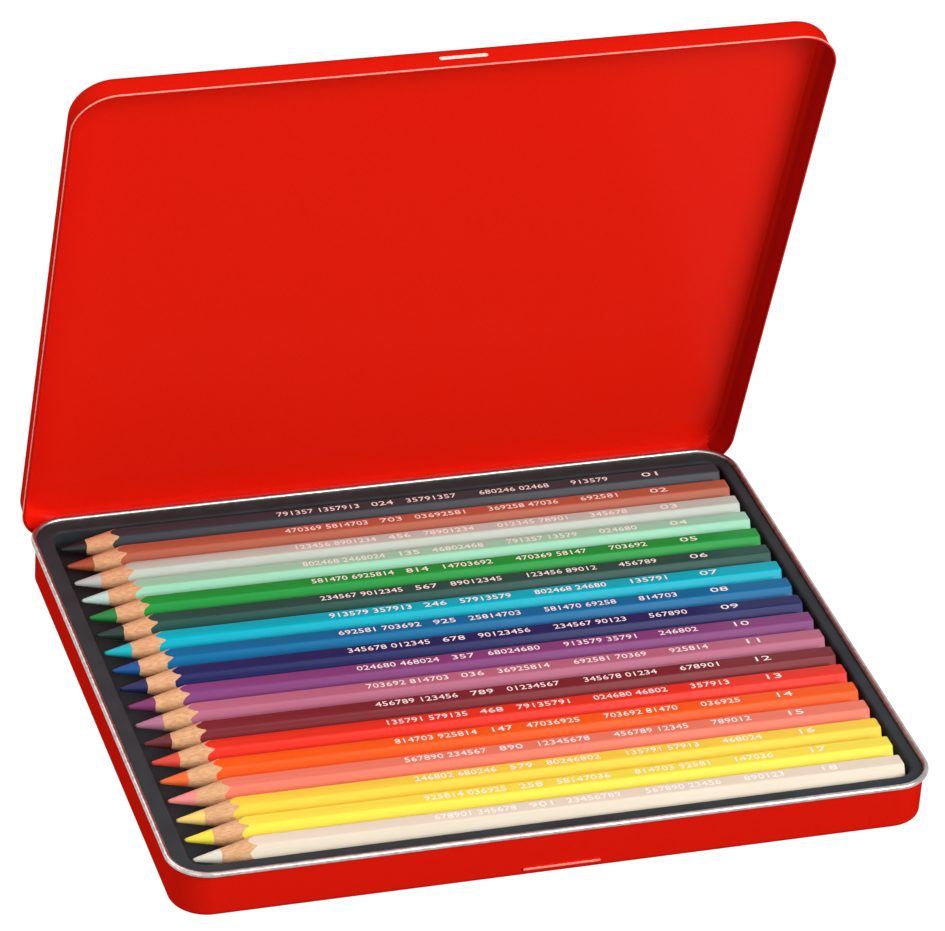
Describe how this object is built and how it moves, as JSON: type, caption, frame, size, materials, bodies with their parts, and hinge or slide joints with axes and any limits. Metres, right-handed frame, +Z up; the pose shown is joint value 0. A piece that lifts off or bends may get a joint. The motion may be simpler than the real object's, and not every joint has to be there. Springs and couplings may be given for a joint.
{
  "type": "pencil tin",
  "caption": "Flat hinged tin standing open, with a rolled rim, a formed inlay and a side-by-side row of sharpened hexagonal colour pencils.",
  "frame": {"origin": "middle of the tray's underside, on the surface that the tin stands on", "axes": "+X along the pencils towards their flat ends, +Y from the front wall to the hinges, +Z up"},
  "size_m": [0.1932, 0.1664, 0.1612],
  "materials": {
    "red_lacquered_tinplate": "glossy red stove lacquer on tinplate, bare on the rolled rim",
    "steel_wire": "drawn wire, plain",
    "black_formed_plastic": "semi-gloss vacuum-formed sheet",
    "lacquered_wood_01": "glossy colour lacquer on the sides, bare wood on the sharpened cone",
    "colour_lead_01": "waxy pigment core, matt",
    "lacquered_wood_02": "glossy colour lacquer on the sides, bare wood on the sharpened cone",
    "colour_lead_02": "waxy pigment core, matt",
    "lacquered_wood_03": "glossy colour lacquer on the sides, bare wood on the sharpened cone",
    "colour_lead_03": "waxy pigment core, matt",
    "lacquered_wood_04": "glossy colour lacquer on the sides, bare wood on the sharpened cone",
    "colour_lead_04": "waxy pigment core, matt",
    "lacquered_wood_05": "glossy colour lacquer on the sides, bare wood on the sharpened cone",
    "colour_lead_05": "waxy pigment core, matt",
    "lacquered_wood_06": "glossy colour lacquer on the sides, bare wood on the sharpened cone",
    "colour_lead_06": "waxy pigment core, matt",
    "lacquered_wood_07": "glossy colour lacquer on the sides, bare wood on the sharpened cone",
    "colour_lead_07": "waxy pigment core, matt",
    "lacquered_wood_08": "glossy colour lacquer on the sides, bare wood on the sharpened cone",
    "colour_lead_08": "waxy pigment core, matt",
    "lacquered_wood_09": "glossy colour lacquer on the sides, bare wood on the sharpened cone",
    "colour_lead_09": "waxy pigment core, matt",
    "lacquered_wood_10": "glossy colour lacquer on the sides, bare wood on the sharpened cone",
    "colour_lead_10": "waxy pigment core, matt",
    "lacquered_wood_11": "glossy colour lacquer on the sides, bare wood on the sharpened cone",
    "colour_lead_11": "waxy pigment core, matt",
    "lacquered_wood_12": "glossy colour lacquer on the sides, bare wood on the sharpened cone",
    "colour_lead_12": "waxy pigment core, matt",
    "lacquered_wood_13": "glossy colour lacquer on the sides, bare wood on the sharpened cone",
    "colour_lead_13": "waxy pigment core, matt",
    "lacquered_wood_14": "glossy colour lacquer on the sides, bare wood on the sharpened cone",
    "colour_lead_14": "waxy pigment core, matt",
    "lacquered_wood_15": "glossy colour lacquer on the sides, bare wood on the sharpened cone",
    "colour_lead_15": "waxy pigment core, matt",
    "lacquered_wood_16": "glossy colour lacquer on the sides, bare wood on the sharpened cone",
    "colour_lead_16": "waxy pigment core, matt",
    "lacquered_wood_17": "glossy colour lacquer on the sides, bare wood on the sharpened cone",
    "colour_lead_17": "waxy pigment core, matt",
    "lacquered_wood_18": "glossy colour lacquer on the sides, bare wood on the sharpened cone",
    "colour_lead_18": "waxy pigment core, matt"
  },
  "bodies": {
    "tray": {"tray_shell": "red_lacquered_tinplate", "hinge_pin_left": "steel_wire", "hinge_pin_right": "steel_wire", "inlay": "black_formed_plastic"},
    "lid": {"lid_shell": "red_lacquered_tinplate"},
    "pencil_01": {"pencil_01_casing": "lacquered_wood_01", "pencil_01_lead": "colour_lead_01"},
    "pencil_02": {"pencil_02_casing": "lacquered_wood_02", "pencil_02_lead": "colour_lead_02"},
    "pencil_03": {"pencil_03_casing": "lacquered_wood_03", "pencil_03_lead": "colour_lead_03"},
    "pencil_04": {"pencil_04_casing": "lacquered_wood_04", "pencil_04_lead": "colour_lead_04"},
    "pencil_05": {"pencil_05_casing": "lacquered_wood_05", "pencil_05_lead": "colour_lead_05"},
    "pencil_06": {"pencil_06_casing": "lacquered_wood_06", "pencil_06_lead": "colour_lead_06"},
    "pencil_07": {"pencil_07_casing": "lacquered_wood_07", "pencil_07_lead": "colour_lead_07"},
    "pencil_08": {"pencil_08_casing": "lacquered_wood_08", "pencil_08_lead": "colour_lead_08"},
    "pencil_09": {"pencil_09_casing": "lacquered_wood_09", "pencil_09_lead": "colour_lead_09"},
    "pencil_10": {"pencil_10_casing": "lacquered_wood_10", "pencil_10_lead": "colour_lead_10"},
    "pencil_11": {"pencil_11_casing": "lacquered_wood_11", "pencil_11_lead": "colour_lead_11"},
    "pencil_12": {"pencil_12_casing": "lacquered_wood_12", "pencil_12_lead": "colour_lead_12"},
    "pencil_13": {"pencil_13_casing": "lacquered_wood_13", "pencil_13_lead": "colour_lead_13"},
    "pencil_14": {"pencil_14_casing": "lacquered_wood_14", "pencil_14_lead": "colour_lead_14"},
    "pencil_15": {"pencil_15_casing": "lacquered_wood_15", "pencil_15_lead": "colour_lead_15"},
    "pencil_16": {"pencil_16_casing": "lacquered_wood_16", "pencil_16_lead": "colour_lead_16"},
    "pencil_17": {"pencil_17_casing": "lacquered_wood_17", "pencil_17_lead": "colour_lead_17"},
    "pencil_18": {"pencil_18_casing": "lacquered_wood_18", "pencil_18_lead": "colour_lead_18"}
  },
  "joints": [
    {"name": "lid_hinge", "type": "hinge", "parent": "tray", "child": "lid", "pos_m": [0, 0.07963, 0.00715], "axis": [-1, 0, 0], "range_deg": [-72.5, 47.5]},
    {"name": "pencil_01_lift", "type": "slide", "parent": "tray", "child": "pencil_01", "axis": [0, 0, 1], "range_m": [0, 0.025]},
    {"name": "pencil_02_lift", "type": "slide", "parent": "tray", "child": "pencil_02", "axis": [0, 0, 1], "range_m": [0, 0.025]},
    {"name": "pencil_03_lift", "type": "slide", "parent": "tray", "child": "pencil_03", "axis": [0, 0, 1], "range_m": [0, 0.025]},
    {"name": "pencil_04_lift", "type": "slide", "parent": "tray", "child": "pencil_04", "axis": [0, 0, 1], "range_m": [0, 0.025]},
    {"name": "pencil_05_lift", "type": "slide", "parent": "tray", "child": "pencil_05", "axis": [0, 0, 1], "range_m": [0, 0.025]},
    {"name": "pencil_06_lift", "type": "slide", "parent": "tray", "child": "pencil_06", "axis": [0, 0, 1], "range_m": [0, 0.025]},
    {"name": "pencil_07_lift", "type": "slide", "parent": "tray", "child": "pencil_07", "axis": [0, 0, 1], "range_m": [0, 0.025]},
    {"name": "pencil_08_lift", "type": "slide", "parent": "tray", "child": "pencil_08", "axis": [0, 0, 1], "range_m": [0, 0.025]},
    {"name": "pencil_09_lift", "type": "slide", "parent": "tray", "child": "pencil_09", "axis": [0, 0, 1], "range_m": [0, 0.025]},
    {"name": "pencil_10_lift", "type": "slide", "parent": "tray", "child": "pencil_10", "axis": [0, 0, 1], "range_m": [0, 0.025]},
    {"name": "pencil_11_lift", "type": "slide", "parent": "tray", "child": "pencil_11", "axis": [0, 0, 1], "range_m": [0, 0.025]},
    {"name": "pencil_12_lift", "type": "slide", "parent": "tray", "child": "pencil_12", "axis": [0, 0, 1], "range_m": [0, 0.025]},
    {"name": "pencil_13_lift", "type": "slide", "parent": "tray", "child": "pencil_13", "axis": [0, 0, 1], "range_m": [0, 0.025]},
    {"name": "pencil_14_lift", "type": "slide", "parent": "tray", "child": "pencil_14", "axis": [0, 0, 1], "range_m": [0, 0.025]},
    {"name": "pencil_15_lift", "type": "slide", "parent": "tray", "child": "pencil_15", "axis": [0, 0, 1], "range_m": [0, 0.025]},
    {"name": "pencil_16_lift", "type": "slide", "parent": "tray", "child": "pencil_16", "axis": [0, 0, 1], "range_m": [0, 0.025]},
    {"name": "pencil_17_lift", "type": "slide", "parent": "tray", "child": "pencil_17", "axis": [0, 0, 1], "range_m": [0, 0.025]},
    {"name": "pencil_18_lift", "type": "slide", "parent": "tray", "child": "pencil_18", "axis": [0, 0, 1], "range_m": [0, 0.025]}
  ]
}
